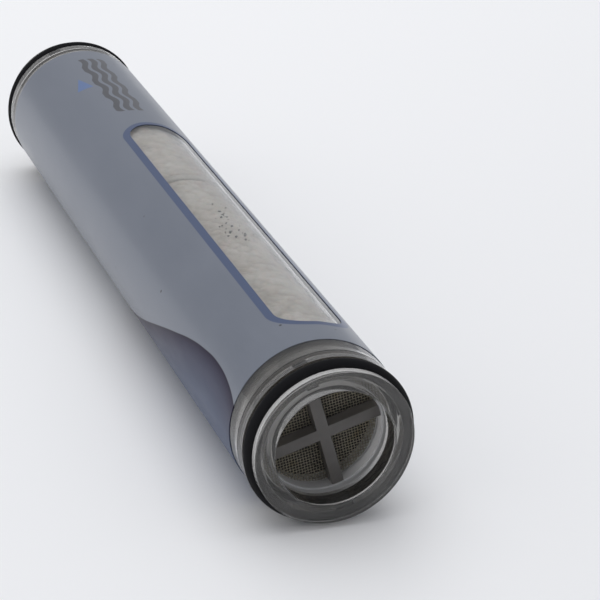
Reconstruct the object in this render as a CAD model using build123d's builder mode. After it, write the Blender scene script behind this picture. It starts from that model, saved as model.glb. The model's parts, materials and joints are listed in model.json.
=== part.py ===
from build123d import *
import os

# Inline water filter cartridge: a clear tube of filter media, closed at each end by a clear cap
# that carries a seal ring and a strainer. The axis is X, the inlet end is at +X, +Z is up as the
# cartridge lies on its seal rings, and the origin is at mid-length on the axis. Millimetres.

os.makedirs("parts", exist_ok=True)

# Overall sizes
overall_length = 143.0
tube_diameter = 24.8
tube_wall = 1.4

# Caps: depths are counted from the end face of the cartridge
flange_step = 0.6
flange_thickness = 1.45
port_diameter = 17.7
collar_width = 2.0
spigot_length = 5.2
port_depth = 4.7
bar_width = 1.8
bar_height = 2.1
bar_turn = 18.4
bar_ledge = 0.2
strainer_lip = 1.2

# Seal rings
seal_section = 2.3
seal_proud = 0.15

# Strainers and what holds them
mesh_thickness = 0.3
retainer_length = 1.8

# Pads and media
end_pad_thickness = 2.5
divider_thickness = 2.0
divider_shift = 1.7

# Printed sleeve
label_thickness = 0.1
label_inlet_margin = 9.3
label_outlet_margin = 7.5
label_seam_gap = 0.6
window_length = 80.6
window_inlet_margin = 15.2
window_width = 10.5
window_turn = 10.2

# Clearances, all radial unless a side is named
bond_gap = 0.05
press_gap = 0.02
fill_gap = 0.1
seal_side_gap = 0.05
edge_round = 0.2

# Radii and depths that follow from the sizes above
tube_radius = tube_diameter / 2
tube_bore_radius = tube_radius - tube_wall
label_radius = tube_radius + label_thickness
flange_radius = tube_radius - flange_step
port_radius = port_diameter / 2
seal_radius = label_radius + seal_proud
seal_centre_radius = seal_radius - seal_section / 2
groove_radius = seal_radius - seal_section
groove_end = flange_thickness + seal_section + 2 * seal_side_gap
seal_centre_depth = (flange_thickness + groove_end) / 2
collar_end = groove_end + collar_width
strainer_depth = port_depth + bar_height
sieve_radius = port_radius - bar_ledge
spigot_radius = tube_bore_radius - bond_gap
spigot_end = collar_end + spigot_length
mesh_radius = sieve_radius + strainer_lip
seat_radius = mesh_radius + press_gap
mesh_end = strainer_depth + mesh_thickness
retainer_end = mesh_end + retainer_length
fill_radius = tube_bore_radius - fill_gap
end_pad_end = spigot_end + end_pad_thickness
half_length = overall_length / 2
half_tube = half_length - collar_end
half_divider = divider_thickness / 2
mean_bed_length = half_length - end_pad_end - half_divider


def save(piece, name):
    """Label a finished piece and write its STEP file."""
    piece.part.label = name
    export_step(piece.part, f"parts/{name}.step")


def profile(side, outline):
    """Draw a closed outline of (depth, radius) points, with depth counted inwards from one end."""
    with BuildSketch(Plane.XZ) as sketch:
        with BuildLine():
            Polyline([(side * (half_length - depth), radius) for depth, radius in outline], close=True)
        make_face()
    return sketch.sketch


def band(outer, inner, start, end):
    """Outline of a plain ring or disc between two depths."""
    return [(start, inner), (start, outer), (end, outer), (end, inner)]


def section_plane(side, depth):
    """Plane across the axis at a depth from one end, facing out of that end."""
    return Plane(origin=(side * (half_length - depth), 0, 0), x_dir=(0, 1, 0), z_dir=(side, 0, 0))


# Clear tube between the two caps
with BuildPart() as body_tube:
    with BuildSketch(Plane.YZ):
        Circle(tube_radius)
        Circle(tube_bore_radius, mode=Mode.SUBTRACT)
    extrude(amount=half_tube, both=True)
    chamfer(body_tube.edges().filter_by(GeomType.CIRCLE), edge_round)
save(body_tube, "body_tube")

# Printed film round the tube, with a window over the media and its seam on the far side
label_start = half_length - label_inlet_margin
label_stop = -half_length + label_outlet_margin
window_centre = half_length - window_inlet_margin - window_length / 2
window_corner = 0.4 * window_width
window_axis = Vector(0, 0, 1).rotate(Axis.X, -window_turn)
window_plane = Plane(origin=(window_centre, 0, 0), x_dir=(1, 0, 0), z_dir=window_axis)
seam_plane = Plane(origin=(0, 0, 0), x_dir=(1, 0, 0), z_dir=-window_axis)
with BuildPart() as label_sleeve:
    with BuildSketch(Plane.YZ.offset(label_stop)):
        Circle(label_radius)
        Circle(tube_radius, mode=Mode.SUBTRACT)
    extrude(amount=label_start - label_stop)
    with BuildSketch(window_plane):
        RectangleRounded(window_length, window_width, window_corner)
    extrude(amount=2 * tube_radius, mode=Mode.SUBTRACT)
    with BuildSketch(seam_plane):
        Rectangle(2 * overall_length, label_seam_gap)
    extrude(amount=2 * tube_radius, mode=Mode.SUBTRACT)
save(label_sleeve, "label_sleeve")

for end, side in (("inlet", 1), ("outlet", -1)):
    # Cap: flange, seal groove, collar and the spigot bonded into the tube, round a strainer seat
    cap_outline = [
        (0, port_radius),
        (0, flange_radius),
        (flange_thickness, flange_radius),
        (flange_thickness, groove_radius),
        (groove_end, groove_radius),
        (groove_end, tube_radius),
        (collar_end, tube_radius),
        (collar_end, spigot_radius),
        (spigot_end, spigot_radius),
        (spigot_end, seat_radius),
        (strainer_depth, seat_radius),
        (strainer_depth, sieve_radius),
        (port_depth, sieve_radius),
        (port_depth, port_radius),
    ]
    with BuildPart() as cap:
        add(profile(side, cap_outline))
        revolve(axis=Axis.X)
        end_rims = cap.edges().filter_by(GeomType.CIRCLE).group_by(Axis.X, reverse=side > 0)[0]
        fillet(end_rims, edge_round)
        with BuildSketch(section_plane(side, strainer_depth)):
            for turn in (bar_turn, bar_turn + 90):
                Rectangle(2 * sieve_radius + strainer_lip, bar_width, rotation=side * turn)
        extrude(amount=bar_height)
    save(cap, f"{end}_cap")

    # Seal ring in the cap's groove
    with BuildPart() as seal:
        with BuildSketch(Plane.XZ):
            with Locations((side * (half_length - seal_centre_depth), seal_centre_radius)):
                Circle(seal_section / 2)
        revolve(axis=Axis.X)
    save(seal, f"{end}_seal_ring")

    # Woven strainer disc against the bars, and the ring pressed in behind it
    with BuildPart() as mesh:
        with BuildSketch(section_plane(side, mesh_end)):
            Circle(mesh_radius)
        extrude(amount=mesh_thickness)
    save(mesh, f"{end}_strainer")

    with BuildPart() as retainer:
        add(profile(side, band(mesh_radius, sieve_radius, mesh_end, retainer_end)))
        revolve(axis=Axis.X)
    save(retainer, f"{end}_strainer_retainer")

    # Felt pad against the spigot, then the media bed up to the divider
    with BuildPart() as pad:
        with BuildSketch(section_plane(side, end_pad_end)):
            Circle(fill_radius)
        extrude(amount=end_pad_thickness)
    save(pad, f"{end}_pad")

    media_length = mean_bed_length + side * divider_shift
    with BuildPart() as media:
        with BuildSketch(section_plane(side, end_pad_end + media_length)):
            Circle(fill_radius)
        extrude(amount=media_length)
    save(media, f"{end}_media")

# Felt divider between the two beds, a little nearer the outlet
with BuildPart() as divider:
    with BuildSketch(Plane.YZ.offset(-divider_shift)):
        Circle(fill_radius)
    extrude(amount=half_divider, both=True)
save(divider, "divider_pad")
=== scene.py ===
import json
import math
import random

import bmesh
import bpy
from mathutils import Matrix, Vector, noise


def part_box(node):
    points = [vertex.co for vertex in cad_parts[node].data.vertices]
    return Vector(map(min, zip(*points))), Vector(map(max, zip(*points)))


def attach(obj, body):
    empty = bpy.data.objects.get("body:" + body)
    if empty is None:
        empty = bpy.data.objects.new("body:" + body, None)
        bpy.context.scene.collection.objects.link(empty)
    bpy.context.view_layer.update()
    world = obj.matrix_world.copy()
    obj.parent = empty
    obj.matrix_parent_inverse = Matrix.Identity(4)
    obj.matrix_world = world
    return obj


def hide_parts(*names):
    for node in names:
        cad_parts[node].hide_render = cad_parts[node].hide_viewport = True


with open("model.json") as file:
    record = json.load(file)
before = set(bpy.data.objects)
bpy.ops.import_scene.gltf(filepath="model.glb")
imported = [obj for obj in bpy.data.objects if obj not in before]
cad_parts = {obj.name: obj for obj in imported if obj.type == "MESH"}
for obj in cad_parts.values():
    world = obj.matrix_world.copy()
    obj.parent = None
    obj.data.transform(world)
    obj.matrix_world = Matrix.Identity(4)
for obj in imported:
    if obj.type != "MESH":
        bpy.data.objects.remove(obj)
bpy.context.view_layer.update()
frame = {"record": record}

# An inline water filter cartridge. The axis is X, the inlet end is at +X and the window is on top.
# Sizes are in metres, and everything that the frame can give is read from it.

MM = 0.001
ENDS = (("inlet", 1), ("outlet", -1))

# ---------------------------------------------------------------- sizes from the frame
mounts = {mount["name"]: mount for mount in frame["record"]["mounts"]}
low, high = 0, 1
half_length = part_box("inlet_cap")[high].x
tube_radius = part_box("body_tube")[high].z
tube_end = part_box("body_tube")[high].x
label_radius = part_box("label_sleeve")[high].z
label_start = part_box("label_sleeve")[high].x
label_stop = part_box("label_sleeve")[low].x
fill_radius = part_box("inlet_media")[high].z
seal_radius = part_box("inlet_seal_ring")[high].z
mesh_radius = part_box("inlet_strainer")[high].z
port_radius = mounts["inlet_port"]["dims"]["r_mm"] * MM
port_reach = mounts["inlet_port"]["dims"]["length_mm"] * MM / 2
port_depth = half_length - mounts["inlet_port"]["pos_m"][0] + port_reach
# Depth at which the pale film at the port's foot starts: this film is painted light.
painted_light_foot_depth = port_depth - 1.2 * MM

collar_end = half_length - tube_end
spigot_end = half_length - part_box("inlet_cap")[low].x
strainer_depth = half_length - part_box("inlet_strainer")[high].x
strainer_end = half_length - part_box("inlet_strainer")[low].x
retainer_end = half_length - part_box("inlet_strainer_retainer")[low].x
seal_start = half_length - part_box("inlet_seal_ring")[high].x
seal_end = half_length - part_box("inlet_seal_ring")[low].x

# ---------------------------------------------------------------- sizes that the frame doesn't name
fill_gap = 0.1 * MM
bond_gap = 0.05 * MM
seal_side_gap = 0.05 * MM
flange_step = 0.6 * MM
bar_ledge = 0.2 * MM
bar_width = 1.8 * MM
bar_turn = math.radians(18.4)
tube_bore_radius = fill_radius + fill_gap
spigot_radius = tube_bore_radius - bond_gap
sieve_radius = port_radius - bar_ledge
flange_radius = tube_radius - flange_step
flange_end = seal_start - seal_side_gap
groove_end = seal_end + seal_side_gap
seal_section = seal_end - seal_start
groove_radius = seal_radius - seal_section
seat_radius = mesh_radius + 0.02 * MM

window_length = 80.6 * MM
window_width = 10.5 * MM
window_corner = 0.4 * window_width
window_centre = half_length - 15.2 * MM - window_length / 2
window_turn = math.radians(10.2)
seam_gap = 0.6 * MM


# ---------------------------------------------------------------- mesh helpers
def new_object(name, verts, faces, smooth_angle=40):
    """A mesh object from vertices and faces, smooth except across edges sharper than smooth_angle."""
    mesh = bpy.data.meshes.new(name)
    mesh.from_pydata(verts, [], faces)
    mesh.validate()
    obj = bpy.data.objects.new(name, mesh)
    bpy.context.scene.collection.objects.link(obj)
    fix_normals(obj)
    shade(obj, smooth_angle)
    return obj


def fix_normals(obj):
    """Turn every face outwards."""
    work = bmesh.new()
    work.from_mesh(obj.data)
    bmesh.ops.recalc_face_normals(work, faces=work.faces)
    work.to_mesh(obj.data)
    work.free()


def shade(obj, smooth_angle):
    obj.data.polygons.foreach_set("use_smooth", [True] * len(obj.data.polygons))
    obj.data.set_sharp_from_angle(angle=math.radians(smooth_angle))


def mark_bonded(obj, is_bonded):
    """Give the bonded material to the faces that pass a test of (x, radius, normal)."""
    for face in obj.data.polygons:
        radius = math.hypot(face.center.y, face.center.z)
        face.material_index = 1 if is_bonded(face.center.x, radius, face.normal) else 0


def round_corners(points, steps=5):
    """Replace each (x, r, fillet) corner of a closed outline with an arc of that radius."""
    outline = []
    for index, (x, r, fillet) in enumerate(points):
        corner = Vector((x, r))
        if fillet <= 0:
            outline.append(corner)
            continue
        to_last = (Vector(points[index - 1][:2]) - corner).normalized()
        to_next = (Vector(points[(index + 1) % len(points)][:2]) - corner).normalized()
        half_angle = to_last.angle(to_next) / 2
        reach = fillet / math.tan(half_angle)
        centre = corner + (to_last + to_next).normalized() * (fillet / math.sin(half_angle))
        first = corner + to_last * reach - centre
        last = corner + to_next * reach - centre
        for step in range(steps + 1):
            outline.append(centre + first.slerp(last, step / steps, first) * fillet)
    return outline


def lathe(name, outline, segments=192, closed=True):
    """Turn an outline of (x, r) points about X. An open outline starts and ends on the axis."""
    verts, faces, rings = [], [], []
    for point in outline:
        if point[1] < 1e-9:
            rings.append([len(verts)] * segments)
            verts.append((point[0], 0, 0))
            continue
        rings.append(list(range(len(verts), len(verts) + segments)))
        for step in range(segments):
            angle = 2 * math.pi * step / segments
            verts.append((point[0], point[1] * math.sin(angle), point[1] * math.cos(angle)))
    spans = len(rings) if closed else len(rings) - 1
    for index in range(spans):
        a, b = rings[index], rings[(index + 1) % len(rings)]
        for step in range(segments):
            after = (step + 1) % segments
            face = []
            for corner in (a[step], a[after], b[after], b[step]):
                if corner not in face:
                    face.append(corner)
            faces.append(face)
    return new_object(name, verts, faces)


def at_end(side, points):
    """Outline points (depth, radius, fillet) as (x, r, fillet), with depth counted in from one end."""
    return [(side * (half_length - depth), radius, fillet) for depth, radius, fillet in points]


def combine(target, tool, operation):
    """Apply a boolean of two closed meshes to target, and remove the tool."""
    modifier = target.modifiers.new("combine", "BOOLEAN")
    modifier.operation = operation
    modifier.solver = "EXACT"
    modifier.object = tool
    settle(target)
    bpy.data.meshes.remove(tool.data)
    return target


def settle(obj):
    """Turn an object's modifiers into its own mesh."""
    settled = obj.evaluated_get(bpy.context.evaluated_depsgraph_get())
    mesh = bpy.data.meshes.new_from_object(settled)
    obj.modifiers.clear()
    old = obj.data
    obj.data = mesh
    mesh.name = obj.name
    bpy.data.meshes.remove(old)


def true_normals(obj):
    """Let large faces set the shading, so that the fillets beside them don't bend it."""
    obj.modifiers.new("true_normals", "WEIGHTED_NORMAL").keep_sharp = True
    settle(obj)


def rounded_block(name, size, centre, turn, bevel):
    """A block with rounded edges, turned about X."""
    obj = new_object(name, [], [])
    work = bmesh.new()
    bmesh.ops.create_cube(work, size=1.0)
    bmesh.ops.scale(work, vec=size, verts=work.verts)
    bmesh.ops.bevel(work, geom=work.edges[:], offset=bevel, segments=4, profile=0.5, affect="EDGES")
    bmesh.ops.rotate(work, cent=(0, 0, 0), matrix=Matrix.Rotation(turn, 3, "X"), verts=work.verts)
    bmesh.ops.translate(work, vec=centre, verts=work.verts)
    work.to_mesh(obj.data)
    work.free()
    return obj


# ---------------------------------------------------------------- material helpers
class Nodes:
    """Short names for building one material's node tree."""

    def __init__(self, name):
        self.material = bpy.data.materials.new(name)
        self.material.use_nodes = True
        self.tree = self.material.node_tree
        self.tree.nodes.clear()
        self.output = self.tree.nodes.new("ShaderNodeOutputMaterial")

    def node(self, kind, **settings):
        made = self.tree.nodes.new(kind)
        for key, value in settings.items():
            setattr(made, key, value)
        return made

    def link(self, source, target):
        self.tree.links.new(source, target)

    def feed(self, socket, value):
        if isinstance(value, bpy.types.NodeSocket):
            self.link(value, socket)
        else:
            socket.default_value = value

    def math(self, operation, first, second=0.0, third=0.0, clamp=False):
        made = self.node("ShaderNodeMath", operation=operation, use_clamp=clamp)
        for socket, value in zip(made.inputs, (first, second, third)):
            self.feed(socket, value)
        return made.outputs[0]

    def place(self):
        """The piece's own coordinates, in metres along the row's axes."""
        return self.node("ShaderNodeTexCoord").outputs["Object"]

    def scaled(self, vector, scale):
        made = self.node("ShaderNodeMapping")
        self.link(vector, made.inputs["Vector"])
        made.inputs["Scale"].default_value = scale
        return made.outputs["Vector"]

    def noise(self, vector, scale, detail=2.0, roughness=0.5):
        made = self.node("ShaderNodeTexNoise")
        self.link(vector, made.inputs["Vector"])
        made.inputs["Scale"].default_value = scale
        made.inputs["Detail"].default_value = detail
        made.inputs["Roughness"].default_value = roughness
        return made.outputs["Fac"]

    def cells(self, vector, scale, feature="F1"):
        made = self.node("ShaderNodeTexVoronoi", feature=feature)
        self.link(vector, made.inputs["Vector"])
        made.inputs["Scale"].default_value = scale
        return made.outputs["Distance"]

    def ramp(self, value, stops, interpolation="LINEAR"):
        made = self.node("ShaderNodeValToRGB")
        made.color_ramp.interpolation = interpolation
        elements = made.color_ramp.elements
        while len(elements) < len(stops):
            elements.new(1.0)
        for element, (position, colour) in zip(elements, stops):
            element.position = position
            element.color = (*colour, 1.0)
        self.link(value, made.inputs["Fac"])
        return made.outputs["Color"]

    def span(self, value, from_low, from_high, to_low=0.0, to_high=1.0, smooth=True):
        made = self.node("ShaderNodeMapRange")
        made.interpolation_type = "SMOOTHSTEP" if smooth else "LINEAR"
        for name, amount in (
            ("Value", value),
            ("From Min", from_low),
            ("From Max", from_high),
            ("To Min", to_low),
            ("To Max", to_high),
        ):
            self.feed(made.inputs[name], amount)
        return made.outputs["Result"]

    def mix(self, factor, first, second, blend="MIX"):
        made = self.node("ShaderNodeMix", data_type="RGBA", blend_type=blend)
        for socket, value in ((made.inputs[0], factor), (made.inputs[6], first), (made.inputs[7], second)):
            if isinstance(value, tuple):
                value = (*value, 1.0)
            self.feed(socket, value)
        return made.outputs[2]

    def bump(self, height, strength, distance):
        made = self.node("ShaderNodeBump")
        self.link(height, made.inputs["Height"])
        made.inputs["Strength"].default_value = strength
        made.inputs["Distance"].default_value = distance
        return made.outputs["Normal"]

    def principled(self, **values):
        """A Principled shader: constants go straight on its sockets, node outputs are linked."""
        made = self.node("ShaderNodeBsdfPrincipled")
        for key, value in values.items():
            if isinstance(value, tuple) and len(value) == 3 and made.inputs[key.replace("_", " ")].type == "RGBA":
                value = (*value, 1.0)
            self.feed(made.inputs[key.replace("_", " ")], value)
        return made

    def done(self, shader):
        self.link(shader, self.output.inputs["Surface"])
        return self.material


def clear_plastic(name, tint, ior, haze, haze_colour, bar_radius=0.0, wall_radius=0.0):
    """Clear plastic that lets lamps through, with faint scuffs and haze.

    An ior of 1 is for a bonded joint, where light goes straight on. Within bar_radius of the axis
    the plastic is frosted grey: these are the cross bars. From there out to wall_radius, from the
    foot's depth inwards, it has a pale film round the bars at the foot of the port: painted light,
    standing in for the light seen through the wall there.
    """
    nodes = Nodes(name)
    place = nodes.place()
    scuffs = nodes.noise(nodes.scaled(place, (400, 900, 900)), 1.0, 3.0, 0.6)
    blotches = nodes.noise(place, 180.0, 3.0)
    normal = nodes.bump(nodes.noise(place, 260.0, 1.0), 0.05, 0.0002)
    glass = nodes.principled(
        Base_Color=tint,
        Roughness=nodes.span(scuffs, 0.35, 0.75, 0.02, 0.08),
        IOR=ior,
        Transmission_Weight=1.0,
        Normal=normal,
    )
    parts = nodes.node("ShaderNodeSeparateXYZ")
    nodes.link(place, parts.inputs[0])
    y_squared, z_squared = (nodes.math("POWER", parts.outputs[axis], 2.0) for axis in (1, 2))
    radius = nodes.math("SQRT", nodes.math("ADD", y_squared, z_squared))
    frosted = nodes.math("LESS_THAN", radius, bar_radius)
    depth = nodes.math("SUBTRACT", half_length, nodes.math("ABSOLUTE", parts.outputs[0]))
    at_foot = nodes.span(depth, painted_light_foot_depth - 0.25 * MM, painted_light_foot_depth + 0.25 * MM)
    # Pale film at the port's foot: painted light, standing in for the light seen through the wall.
    painted_light_foot = nodes.math("MULTIPLY", nodes.math("LESS_THAN", radius, wall_radius), at_foot)
    frost_tone = nodes.ramp(blotches, [(0.3, (0.10, 0.092, 0.085)), (0.7, (0.135, 0.126, 0.118))])
    film = nodes.principled(
        Base_Color=nodes.mix(frosted, nodes.mix(painted_light_foot, haze_colour, (0.58, 0.58, 0.59)), frost_tone),
        Roughness=0.5,
        Normal=normal,
    )
    amount = nodes.span(blotches, 0.3, 0.75, haze * 0.6, haze * 1.4)
    hazy = nodes.node("ShaderNodeMixShader")
    covered = nodes.math("MAXIMUM", nodes.math("MULTIPLY", frosted, 0.75), nodes.math("MULTIPLY", painted_light_foot, 0.6))
    nodes.link(nodes.math("MAXIMUM", amount, covered), hazy.inputs[0])
    nodes.link(glass.outputs[0], hazy.inputs[1])
    nodes.link(film.outputs[0], hazy.inputs[2])
    return let_lamps_through(nodes, hazy.outputs[0], tint)


def let_lamps_through(nodes, shader, tint):
    """Finish a clear material so that what lies inside it is lit."""
    through = nodes.node("ShaderNodeBsdfTransparent")
    through.inputs["Color"].default_value = (*tint, 1.0)
    lamp_ray = nodes.node("ShaderNodeLightPath").outputs["Is Shadow Ray"]
    mixed = nodes.node("ShaderNodeMixShader")
    nodes.link(lamp_ray, mixed.inputs[0])
    nodes.link(shader, mixed.inputs[1])
    nodes.link(through.outputs[0], mixed.inputs[2])
    return nodes.done(mixed.outputs[0])


def rubber():
    """Black moulded rubber with a fine grain and pale dust."""
    nodes = Nodes("seal_rubber")
    place = nodes.place()
    grain = nodes.noise(place, 2600.0, 3.0, 0.6)
    dust = nodes.noise(place, 700.0, 5.0, 0.7)
    colour = nodes.ramp(dust, [(0.0, (0.006, 0.006, 0.007)), (0.62, (0.009, 0.009, 0.010)), (0.8, (0.03, 0.028, 0.025))])
    roughness = nodes.span(dust, 0.4, 0.75, 0.55, 0.8)
    shader = nodes.principled(
        Base_Color=colour, Roughness=roughness, Specular_IOR_Level=0.08, Normal=nodes.bump(grain, 0.3, 0.00004)
    )
    return nodes.done(shader.outputs[0])


def wire():
    """Dull stainless wire with brownish tarnish."""
    nodes = Nodes("strainer_wire")
    place = nodes.place()
    stain = nodes.noise(place, 300.0, 4.0, 0.6)
    colour = nodes.ramp(stain, [(0.3, (0.25, 0.225, 0.18)), (0.55, (0.42, 0.385, 0.31)), (0.75, (0.32, 0.27, 0.17))])
    shader = nodes.principled(
        Base_Color=colour,
        Metallic=0.9,
        Roughness=nodes.span(stain, 0.3, 0.7, 0.28, 0.5),
        Normal=nodes.bump(nodes.noise(place, 5000.0, 2.0), 0.2, 0.00001),
    )
    return nodes.done(shader.outputs[0])


def felt(name, low_colour, high_colour, sheen):
    """Needled felt."""
    nodes = Nodes(name)
    place = nodes.place()
    fibre = nodes.noise(nodes.scaled(place, (1500, 4200, 4200)), 1.0, 5.0, 0.7)
    shader = nodes.principled(
        Base_Color=nodes.ramp(fibre, [(0.3, low_colour), (0.6, high_colour)]),
        Roughness=nodes.span(fibre, 0.2, 0.8, 0.85, 1.0),
        Sheen_Weight=sheen,
        Normal=nodes.bump(fibre, 0.9, 0.00025),
    )
    return nodes.done(shader.outputs[0])


def granules():
    """Off-white mineral granules, slightly translucent, with fine pale dust on them, and painted shade that darkens the
    gaps between them.
    """
    nodes = Nodes("media_granules")
    place = nodes.place()
    broad = nodes.noise(place, 120.0, 3.0, 0.6)
    fine = nodes.noise(place, 1400.0, 4.0, 0.65)
    base = nodes.ramp(broad, [(0.3, (0.46, 0.425, 0.39)), (0.5, (0.58, 0.55, 0.525)), (0.7, (0.68, 0.655, 0.64))])
    colour = nodes.mix(nodes.span(fine, 0.35, 0.7, 0.0, 0.5), base, (0.70, 0.68, 0.665))
    parts = nodes.node("ShaderNodeSeparateXYZ")
    nodes.link(place, parts.inputs[0])
    y_squared, z_squared = (nodes.math("POWER", parts.outputs[axis], 2.0) for axis in (1, 2))
    radius = nodes.math("SQRT", nodes.math("ADD", y_squared, z_squared))
    # Painted shade: the colour darkens where the surface sinks into the gaps between grains.
    painted_gap_shade = nodes.span(radius, tube_bore_radius - 0.1 * MM, tube_bore_radius - 0.6 * MM)
    colour = nodes.mix(nodes.math("MULTIPLY", painted_gap_shade, 0.6), colour, (0.30, 0.275, 0.25))
    shader = nodes.principled(
        Base_Color=colour,
        Roughness=nodes.span(fine, 0.3, 0.7, 0.5, 0.8),
        Subsurface_Weight=0.15,
        Subsurface_Scale=0.0006,
        Normal=nodes.bump(fine, 0.5, 0.00012),
    )
    return nodes.done(shader.outputs[0])


def fines():
    """Dark carbon specks among the granules."""
    nodes = Nodes("dark_fines")
    grain = nodes.noise(nodes.place(), 3000.0, 3.0)
    shader = nodes.principled(
        Base_Color=nodes.ramp(grain, [(0.3, (0.012, 0.011, 0.010)), (0.7, (0.04, 0.035, 0.03))]),
        Roughness=0.5,
    )
    return nodes.done(shader.outputs[0])


def moulded_ring():
    """Natural moulded plastic for the hidden retaining rings."""
    nodes = Nodes("retainer_plastic")
    grain = nodes.noise(nodes.place(), 900.0, 3.0)
    shader = nodes.principled(
        Base_Color=nodes.ramp(grain, [(0.3, (0.60, 0.59, 0.56)), (0.7, (0.68, 0.67, 0.64))]),
        Roughness=nodes.span(grain, 0.3, 0.7, 0.3, 0.45),
        Normal=nodes.bump(grain, 0.15, 0.00005),
    )
    return nodes.done(shader.outputs[0])


def box_distance(nodes, along, across, half_along, half_across, corner):
    """Signed distance from a rounded rectangle, in the units of its inputs."""
    over_along = nodes.math("SUBTRACT", nodes.math("ABSOLUTE", along), half_along - corner)
    over_across = nodes.math("SUBTRACT", nodes.math("ABSOLUTE", across), half_across - corner)
    out_along = nodes.math("MAXIMUM", over_along, 0.0)
    out_across = nodes.math("MAXIMUM", over_across, 0.0)
    squares = nodes.math("ADD", nodes.math("POWER", out_along, 2.0), nodes.math("POWER", out_across, 2.0))
    outside = nodes.math("SQRT", squares)
    inside = nodes.math("MINIMUM", nodes.math("MAXIMUM", over_along, over_across), 0.0)
    return nodes.math("SUBTRACT", nodes.math("ADD", outside, inside), corner)


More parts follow.
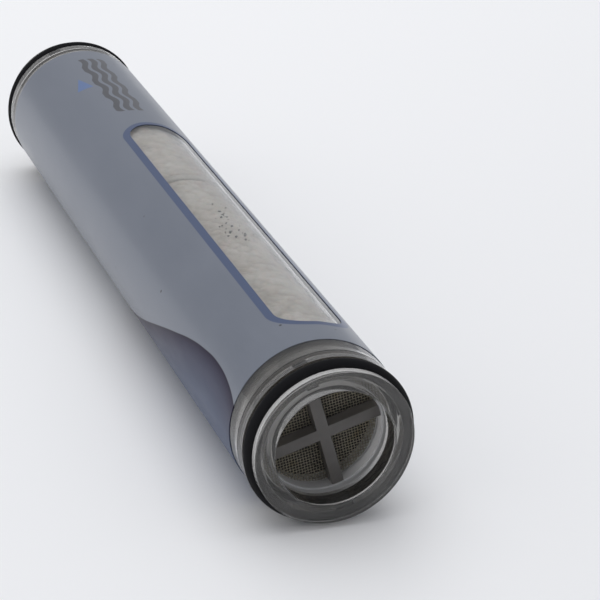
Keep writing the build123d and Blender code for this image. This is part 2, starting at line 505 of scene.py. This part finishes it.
def printed_film():
    """Silver-blue printed film: window outline, swoosh, flow ripples and a flow arrow."""
    nodes = Nodes("label_print")
    place = nodes.place()
    parts = nodes.node("ShaderNodeSeparateXYZ")
    nodes.link(place, parts.inputs[0])
    x, y, z = (nodes.math("MULTIPLY", parts.outputs[axis], 1000.0) for axis in range(3))
    depth = nodes.math("SUBTRACT", half_length * 1000, x)
    ink_edge = 0.08

    # Outline of the window, measured square to the window's own direction
    across = nodes.math(
        "SUBTRACT", nodes.math("MULTIPLY", y, math.cos(window_turn)), nodes.math("MULTIPLY", z, math.sin(window_turn))
    )
    upward = nodes.math(
        "ADD", nodes.math("MULTIPLY", y, math.sin(window_turn)), nodes.math("MULTIPLY", z, math.cos(window_turn))
    )
    along = nodes.math("SUBTRACT", x, window_centre * 1000)
    edge = box_distance(nodes, along, across, window_length * 500, window_width * 500, window_corner * 1000)
    on_top = nodes.math("GREATER_THAN", upward, 0.0)
    around = nodes.math("DEGREES", nodes.math("ARCTAN2", across, upward))
    angle = nodes.math("ADD", around, math.degrees(window_turn))
    stroke = nodes.math("MULTIPLY", nodes.span(edge, 1.1 + ink_edge, 1.1 - ink_edge), on_top)

    # Swoosh: everything below a curve that starts near the inlet and falls away round the side
    curve = nodes.node("ShaderNodeFloatCurve")
    shape = curve.mapping.curves[0]
    crest_line = (
        (9.0, -74), (13, -66.9), (19, -63.9), (25, -66.4), (30, -70.9), (35, -77.4), (40, -84.4), (50, -100.4), (70, -134), (89, -176),
    )
    first_depth, last_depth = crest_line[0][0], crest_line[-1][0]
    spots = [((where - first_depth) / (last_depth - first_depth), (turn + 180) / 180) for where, turn in crest_line]
    shape.points[0].location = spots[0]
    shape.points[-1].location = spots[-1]
    for spot in spots[1:-1]:
        shape.points.new(*spot)
    curve.mapping.update()
    nodes.link(nodes.span(depth, first_depth, last_depth, smooth=False), curve.inputs["Value"])
    crest = nodes.math("SUBTRACT", nodes.math("MULTIPLY", curve.outputs[0], 180.0), 180.0)
    below = nodes.math("SUBTRACT", crest, angle)
    swoosh = nodes.math("MULTIPLY", nodes.span(below, -0.4, 0.4), nodes.math("LESS_THAN", angle, -20.0))
    swoosh_colour = nodes.ramp(
        nodes.span(below, 0.0, 60.0, smooth=False),
        [(0.0, (0.008, 0.004, 0.02)), (0.05, (0.022, 0.018, 0.045)), (0.2, (0.055, 0.06, 0.10)), (0.5, (0.07, 0.09, 0.15)), (1.0, (0.05, 0.075, 0.15))],
    )

    # Generic flow ripples and arrow, in place of any wording
    ripple_along = nodes.math("SUBTRACT", depth, 117.0)
    ripple_across = nodes.math("MULTIPLY", nodes.math("SUBTRACT", angle, 1.6), 0.218)
    wave = nodes.math("MULTIPLY", nodes.math("SINE", nodes.math("MULTIPLY", ripple_along, 0.9)), 0.4)
    bent = nodes.math("ADD", ripple_across, wave)
    repeat = nodes.math("PINGPONG", nodes.math("ADD", bent, 9.9), 0.9)
    lines = nodes.span(repeat, 0.28, 0.36)
    patch = box_distance(nodes, ripple_along, ripple_across, 14.0, 2.62, 1.0)
    ripples = nodes.math("MULTIPLY", lines, nodes.span(patch, 0.05, -0.05))
    arrow_along = nodes.math("SUBTRACT", depth, 119.5)
    arrow_across = nodes.math("ABSOLUTE", nodes.math("MULTIPLY", nodes.math("ADD", angle, 19.5), 0.218))
    arrow_edge = nodes.math("ADD", nodes.math("MULTIPLY", arrow_along, -0.3), 0.75)
    arrow = nodes.math(
        "MULTIPLY",
        nodes.span(nodes.math("SUBTRACT", arrow_across, arrow_edge), 0.06, -0.06),
        nodes.span(arrow_along, -2.56, -2.44),
    )

    # Silver-blue ground with faint mottling, dust specks, and slightly different ink gloss
    mottle = nodes.noise(nodes.scaled(place, (60, 160, 160)), 1.0, 4.0, 0.6)
    ground = nodes.ramp(mottle, [(0.3, (0.15, 0.168, 0.207)), (0.7, (0.172, 0.19, 0.23))])
    inked = nodes.mix(swoosh, ground, swoosh_colour)
    inked = nodes.mix(nodes.math("MULTIPLY", ripples, 0.9), inked, (0.055, 0.055, 0.062))
    inked = nodes.mix(nodes.math("MULTIPLY", arrow, 0.9), inked, (0.10, 0.17, 0.36))
    inked = nodes.mix(stroke, inked, (0.055, 0.082, 0.165))
    speck = nodes.cells(place, 260.0)
    rare = nodes.noise(place, 60.0, 2.0)
    specks = nodes.math("MULTIPLY", nodes.span(speck, 0.075, 0.045), nodes.span(rare, 0.55, 0.6))
    inked = nodes.mix(nodes.math("MULTIPLY", specks, 0.85), inked, (0.02, 0.02, 0.02))
    ripple = nodes.noise(nodes.scaled(place, (25, 90, 90)), 1.0, 2.0)
    grain = nodes.noise(place, 2500.0, 2.0)
    height = nodes.math("ADD", ripple, nodes.math("MULTIPLY", grain, 0.04))
    shader = nodes.principled(
        Base_Color=inked,
        Metallic=0.25,
        Roughness=nodes.span(mottle, 0.2, 0.8, 0.34, 0.44),
        Specular_IOR_Level=nodes.math("SUBTRACT", 0.5, nodes.math("MULTIPLY", swoosh, 0.35)),
        Coat_Weight=nodes.math("SUBTRACT", 0.35, nodes.math("MULTIPLY", swoosh, 0.29)),
        Coat_Roughness=0.22,
        Normal=nodes.bump(height, 0.25, 0.0004),
    )
    return nodes.done(shader.outputs[0])


cap_plastic = clear_plastic(
    "cap_clear", (0.60, 0.59, 0.575), 1.5, 0.05, (0.45, 0.44, 0.42), 0.995 * sieve_radius, 1.002 * port_radius
)
tube_plastic = clear_plastic("tube_clear", (0.93, 0.925, 0.905), 1.5, 0.02, (0.55, 0.54, 0.52))
bonded_face = clear_plastic("bonded_face", (0.97, 0.965, 0.955), 1.0, 0.3, (0.40, 0.375, 0.35))


def finish_piece(obj, material, node):
    """Give a piece its material and its place in the model."""
    obj.data.materials.append(material)
    if material in (cap_plastic, tube_plastic):
        obj.data.materials.append(bonded_face)
    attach(obj, "root")
    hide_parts(node)


# ---------------------------------------------------------------- tube and sleeve
def make_tube():
    edge = 0.2 * MM
    outline = round_corners([
        (-tube_end, tube_radius, edge),
        (tube_end, tube_radius, edge),
        (tube_end, tube_bore_radius, edge),
        (-tube_end, tube_bore_radius, edge),
    ])
    tube = lathe("clear_tube", outline, segments=256)
    true_normals(tube)
    joint = half_length - spigot_end
    mark_bonded(tube, lambda x, radius, normal: abs(x) > joint and (radius < tube_radius - edge or abs(normal.x) > 0.9))
    return tube


def make_label():
    """Thin printed sleeve, cut by the window and by the seam on the far side."""
    thickness = label_radius - tube_radius
    inner = tube_radius + 0.004 * MM
    rows = 60
    outer_line = [(label_stop + (label_start - label_stop) * row / rows, label_radius) for row in range(rows + 1)]
    inner_line = [(x, inner) for x, _ in reversed(outer_line)]
    label = lathe("printed_sleeve", outer_line + inner_line, segments=240)
    corners = [
        (window_length / 2, window_width / 2),
        (-window_length / 2, window_width / 2),
        (-window_length / 2, -window_width / 2),
        (window_length / 2, -window_width / 2),
    ]
    outline = round_corners([(x, y, window_corner) for x, y in corners], steps=16)
    count = len(outline)
    verts = [(point.x, point.y, height) for height in (0.5 * tube_radius, 1.5 * tube_radius) for point in outline]
    faces = [list(range(count)), list(range(count, 2 * count))]
    faces += [[i, (i + 1) % count, count + (i + 1) % count, count + i] for i in range(count)]
    window = new_object("window_tool", verts, faces)
    window.data.transform(Matrix.Translation((window_centre, 0, 0)) @ Matrix.Rotation(-window_turn, 4, "X"))
    combine(label, window, "DIFFERENCE")
    seam_size = (2 * half_length, seam_gap, tube_radius)
    seam = rounded_block("seam_tool", seam_size, (0, 0, 0), 0, 0.01 * MM)
    place_seam = Matrix.Rotation(math.pi - window_turn, 4, "X") @ Matrix.Translation((0, 0, tube_radius))
    seam.data.transform(place_seam)
    combine(label, seam, "DIFFERENCE")
    set_radial_normals(label, thickness)
    return label


def set_radial_normals(obj, thickness):
    """Smooth the two curved skins exactly, whatever faces the cuts have left on them."""
    mesh = obj.data
    normals = [None] * len(mesh.loops)
    for face in mesh.polygons:
        for loop in face.loop_indices:
            point = mesh.vertices[mesh.loops[loop].vertex_index].co
            radial = Vector((0, point.y, point.z)).normalized()
            facing = radial.dot(face.normal)
            if facing > 0.95:
                normals[loop] = radial
            elif facing < -0.95:
                normals[loop] = -radial
            else:
                normals[loop] = face.normal.copy()
    mesh.normals_split_custom_set([tuple(n) for n in normals])


# ---------------------------------------------------------------- end pieces
def make_cap(end, side):
    soft, fine = 0.2 * MM, 0.08 * MM
    outline = round_corners(at_end(side, [
        (0, port_radius, soft),
        (0, flange_radius, soft),
        (flange_end, flange_radius, fine),
        (flange_end, groove_radius, fine),
        (groove_end, groove_radius, fine),
        (groove_end, tube_radius, fine),
        (collar_end, tube_radius, fine),
        (collar_end, spigot_radius, fine),
        (spigot_end, spigot_radius, soft),
        (spigot_end, seat_radius, soft),
        (strainer_depth, seat_radius, fine),
        (strainer_depth, sieve_radius, fine),
        (port_depth, sieve_radius, fine),
        (port_depth, port_radius, fine),
    ]))
    cap = lathe(f"{end}_cap_clear", outline, segments=192)
    bar_height = strainer_depth - port_depth
    bar_middle = side * (half_length - (strainer_depth + port_depth) / 2)
    reach = 2 * sieve_radius + 1.0 * MM
    bars = [
        rounded_block(f"{end}_bar_{index}", (bar_height, reach, bar_width), (bar_middle, 0, 0), turn, 0.12 * MM)
        for index, turn in enumerate((bar_turn, bar_turn + math.pi / 2))
    ]
    combine(bars[0], bars[1], "UNION")
    combine(cap, bars[0], "UNION")
    shade(cap, 35)
    true_normals(cap)

    def in_tube(x, radius, normal):
        depth = half_length - side * x
        return depth > collar_end - fine and radius > seat_radius + soft and depth < spigot_end - soft

    mark_bonded(cap, in_tube)
    return cap


def make_seal(end, side):
    """Round rubber ring with the fine flash line that its mould leaves."""
    centre = side * (half_length - (seal_start + seal_end) / 2)
    ring_radius = seal_radius - seal_section / 2
    outline = []
    for step in range(40):
        turn = 2 * math.pi * step / 40
        reach = seal_section / 2 - 0.01 * MM
        reach += 0.012 * MM * math.exp(-((math.sin(turn) / 0.12) ** 2))
        outline.append((centre + reach * math.sin(turn), ring_radius + reach * math.cos(turn)))
    return lathe(f"{end}_seal", outline, segments=224)


def make_strainer(end, side):
    """Plain-woven wire disc: each wire rises over one cross wire and dips under the next."""
    pitch = 0.43 * MM
    middle = side * (half_length - (strainer_depth + strainer_end) / 2)
    wire_radius = 0.064 * MM
    lift = wire_radius * 1.02
    weave_turn = math.radians(12.5)
    count = int(mesh_radius / pitch)
    sides = 5
    verts, faces = [], []
    for direction in (0, 1):
        for index in range(-count, count + 1):
            offset = index * pitch
            reach = math.sqrt(max(mesh_radius**2 - offset**2, 0)) - wire_radius
            steps = int(reach / (pitch / 2))
            if steps < 2:
                continue
            first = len(verts)
            for step in range(-steps, steps + 1):
                along = step * pitch / 2
                sign = 1 if (index + direction) % 2 == 0 else -1
                height = lift * sign * math.cos(math.pi * along / pitch)
                slope = -lift * sign * math.pi / pitch * math.sin(math.pi * along / pitch)
                for corner in range(sides):
                    turn = 2 * math.pi * corner / sides
                    out = wire_radius * math.cos(turn)
                    aside = wire_radius * math.sin(turn)
                    lean = out * slope / math.sqrt(1 + slope**2)
                    u, v = along - lean, offset + aside
                    if direction:
                        u, v = v, u
                    verts.append((
                        middle + height + out / math.sqrt(1 + slope**2),
                        u * math.cos(weave_turn) - v * math.sin(weave_turn),
                        u * math.sin(weave_turn) + v * math.cos(weave_turn),
                    ))
            rings = 2 * steps + 1
            for ring in range(rings - 1):
                base = first + ring * sides
                for corner in range(sides):
                    after = (corner + 1) % sides
                    faces.append([base + corner, base + after, base + sides + after, base + sides + corner])
            faces.append([first + corner for corner in range(sides)])
            faces.append([first + (rings - 1) * sides + corner for corner in range(sides)])
    return new_object(f"{end}_woven_strainer", verts, faces, smooth_angle=80)


def make_retainer(end, side):
    fine = 0.12 * MM
    outline = round_corners(at_end(side, [
        (strainer_end, sieve_radius, fine),
        (strainer_end, mesh_radius, fine),
        (retainer_end, mesh_radius, fine),
        (retainer_end, sieve_radius, fine),
    ]))
    ring = lathe(f"{end}_retaining_ring", outline, segments=160)
    true_normals(ring)
    return ring


# ---------------------------------------------------------------- pads and media
def make_pad(name, node):
    """Felt disc with soft edges and an uneven, fibrous skin."""
    start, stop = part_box(node)[low].x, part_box(node)[high].x
    rows = 22
    flat = [(start, fill_radius * row / rows) for row in range(rows)]
    edge = round_corners([(start, fill_radius, 0.4 * MM), (stop, fill_radius, 0.4 * MM), (stop, 0, 0), (start, 0, 0)])
    far = [(stop, fill_radius * row / rows) for row in reversed(range(rows))]
    outline = flat[:-1] + edge[:12] + far[1:]
    pad = lathe(name, outline, segments=144, closed=False)
    for vertex in pad.data.vertices:
        rough = noise.noise(vertex.co * 1800) * 0.5 + noise.noise(vertex.co * 5200) * 0.3
        inwards = Vector(((start + stop) / 2, 0, 0)) - vertex.co
        vertex.co += inwards.normalized() * (0.06 * MM * (0.6 + rough))
    return pad


def grain_height(point, size, seed):
    """Height of a packed-grain surface, from 0 in the gaps to 1 on a grain's crown."""
    distances, _ = noise.voronoi(point / size + Vector((seed, seed * 2.3, -seed)))
    crown = max(0.0, 1.0 - (distances[0] / 0.72) ** 2)
    gap = min(1.0, (distances[1] - distances[0]) * 3.0)
    return math.sqrt(crown) * (0.45 + 0.55 * gap)


def make_bed(name, node):
    """A packed bed of granules, as one closed skin with every grain raised on it."""
    start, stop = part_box(node)[low].x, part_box(node)[high].x
    rows = int((stop - start) / (0.27 * MM))
    segments = 250
    side_line = [(start + (stop - start) * row / rows, fill_radius) for row in range(rows + 1)]
    outline = [(start, 0)] + [(start, fill_radius * step / 8) for step in range(1, 8)] + side_line
    outline += [(stop, fill_radius * step / 8) for step in range(7, 0, -1)] + [(stop, 0)]
    bed = lathe(name, outline, segments=segments, closed=False)
    for vertex in bed.data.vertices:
        place = vertex.co.copy()
        radius = math.hypot(place.y, place.z)
        if radius < fill_radius * 0.99:
            continue
        coarse = grain_height(place, 1.9 * MM, 3.0)
        small = grain_height(place, 0.85 * MM, 11.0)
        lumps = 0.5 + 0.5 * noise.noise(place * 350)
        depth = 0.30 * MM * (1 - coarse) * (0.3 + 1.0 * lumps) + 0.15 * MM * (1 - small)
        depth += 0.03 * MM * (1 + noise.noise(place * 2600))
        near_end = min(place.x - start, stop - place.x)
        depth += 0.3 * MM * max(0.0, 1 - near_end / (0.5 * MM))
        scale = (tube_bore_radius - 0.01 * MM - depth) / radius
        vertex.co = Vector((place.x, place.y * scale, place.z * scale))
    bed.data.set_sharp_from_angle(angle=math.radians(85))
    return bed


def make_fines():
    """A few dark specks that have worked their way to the tube wall, in the near half of the window."""
    random.seed(7)
    verts, faces = [], []
    ball = bmesh.new()
    bmesh.ops.create_icosphere(ball, subdivisions=1, radius=1.0)
    ball.verts.ensure_lookup_table()
    for _ in range(34):
        size = random.choice((0.09, 0.11, 0.14, 0.21)) * MM
        depth = random.gauss(52.0, 4.5) * MM
        turn = math.radians(random.gauss(9.0, 7.0))
        reach = tube_bore_radius - 0.8 * size
        centre = Vector((half_length - depth, reach * math.sin(turn), reach * math.cos(turn)))
        first = len(verts)
        for vertex in ball.verts:
            stretch = Vector((random.uniform(0.7, 1.2), random.uniform(0.7, 1.2), random.uniform(0.7, 1.0)))
            verts.append(centre + Vector(a * b for a, b in zip(vertex.co, stretch)) * size)
        faces += [[first + vertex.index for vertex in face.verts] for face in ball.faces]
    ball.free()
    return new_object("carbon_fines", verts, faces, smooth_angle=60)


def build_parts():
    finish_piece(make_tube(), tube_plastic, "body_tube")
    finish_piece(make_label(), printed_film(), "label_sleeve")
    rubber_material, wire_material = rubber(), wire()
    ring_material, media_material = moulded_ring(), granules()
    white_felt = felt("white_felt", (0.42, 0.405, 0.385), (0.62, 0.60, 0.58), 0.2)
    # The end pads are near-black: painted shade, standing in for the darkness behind the strainer mesh.
    carbon_felt = felt("carbon_felt", (0.012, 0.012, 0.012), (0.035, 0.034, 0.032), 0.0)
    for end, side in ENDS:
        finish_piece(make_cap(end, side), cap_plastic, f"{end}_cap")
        finish_piece(make_seal(end, side), rubber_material, f"{end}_seal_ring")
        finish_piece(make_strainer(end, side), wire_material, f"{end}_strainer")
        finish_piece(make_retainer(end, side), ring_material, f"{end}_strainer_retainer")
        finish_piece(make_pad(f"{end}_felt_pad", f"{end}_pad"), carbon_felt, f"{end}_pad")
        finish_piece(make_bed(f"{end}_granules", f"{end}_media"), media_material, f"{end}_media")
    finish_piece(make_pad("divider_felt", "divider_pad"), white_felt, "divider_pad")
    specks = make_fines()
    specks.data.materials.append(fines())
    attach(specks, "root")


# ---------------------------------------------------------------- stage
def make_floor():
    """Plain pale floor that the seal rings rest on."""
    size = 3.0
    floor = new_object(
        "floor", [(-size, -size, 0), (size, -size, 0), (size, size, 0), (-size, size, 0)], [[0, 1, 2, 3]]
    )
    floor.data.transform(Matrix.Translation((0, 0, -seal_radius)))
    nodes = Nodes("floor_paint")
    tone = nodes.noise(nodes.place(), 3.0, 2.0)
    shader = nodes.principled(
        Base_Color=nodes.ramp(tone, [(0.3, (0.88, 0.88, 0.885)), (0.7, (0.90, 0.90, 0.905))]), Roughness=0.7
    )
    floor.data.materials.append(nodes.done(shader.outputs[0]))


def area_light(name, place, size, power, mirrored):
    """A soft lamp that faces the object. Glossy surfaces mirror it only if mirrored is true."""
    lamp = bpy.data.lights.new(name, "AREA")
    lamp.shape = "RECTANGLE"
    lamp.size, lamp.size_y = size
    lamp.energy = power
    obj = bpy.data.objects.new(name, lamp)
    obj.location = place
    obj.rotation_euler = (-Vector(place)).to_track_quat("-Z", "Y").to_euler()
    obj.visible_glossy = mirrored
    obj.visible_transmission = mirrored
    bpy.context.scene.collection.objects.link(obj)


def make_light():
    area_light("overhead", (-0.15, -0.05, 0.8), (0.9, 0.9), 3.6, False)
    area_light("left_fill", (0.1, -0.8, 0.4), (0.9, 0.7), 0.75, True)
    area_light("back", (-0.8, 0.15, 0.45), (0.6, 0.5), 1.2, False)
    world = bpy.data.worlds.new("studio")
    world.use_nodes = True
    world.node_tree.nodes["Background"].inputs["Color"].default_value = (0.93, 0.95, 1.0, 1.0)
    world.node_tree.nodes["Background"].inputs["Strength"].default_value = 0.54
    bpy.context.scene.world = world


def make_camera():
    """Camera at the photograph's viewing angle: above and to the left of the inlet end."""
    camera = bpy.data.cameras.new("camera")
    camera.sensor_width = 36.0
    camera.lens = 134.4
    camera.shift_x = -0.0162
    camera.shift_y = -0.0287
    camera.clip_start = 0.01
    place = Vector((0.3222, -0.1070, 0.1474))
    aim = Vector((0.0098, 0.0193, -0.0041))
    roll = math.radians(3.96)
    obj = bpy.data.objects.new("camera", camera)
    turn = (aim - place).to_track_quat("-Z", "Y").to_matrix() @ Matrix.Rotation(roll, 3, "Z")
    obj.matrix_world = Matrix.Translation(place) @ turn.to_4x4()
    bpy.context.scene.collection.objects.link(obj)
    bpy.context.scene.camera = obj


build_parts()
make_floor()
make_light()
make_camera()
bpy.context.scene.view_settings.view_transform = "Standard"

bpy.context.view_layer.update()
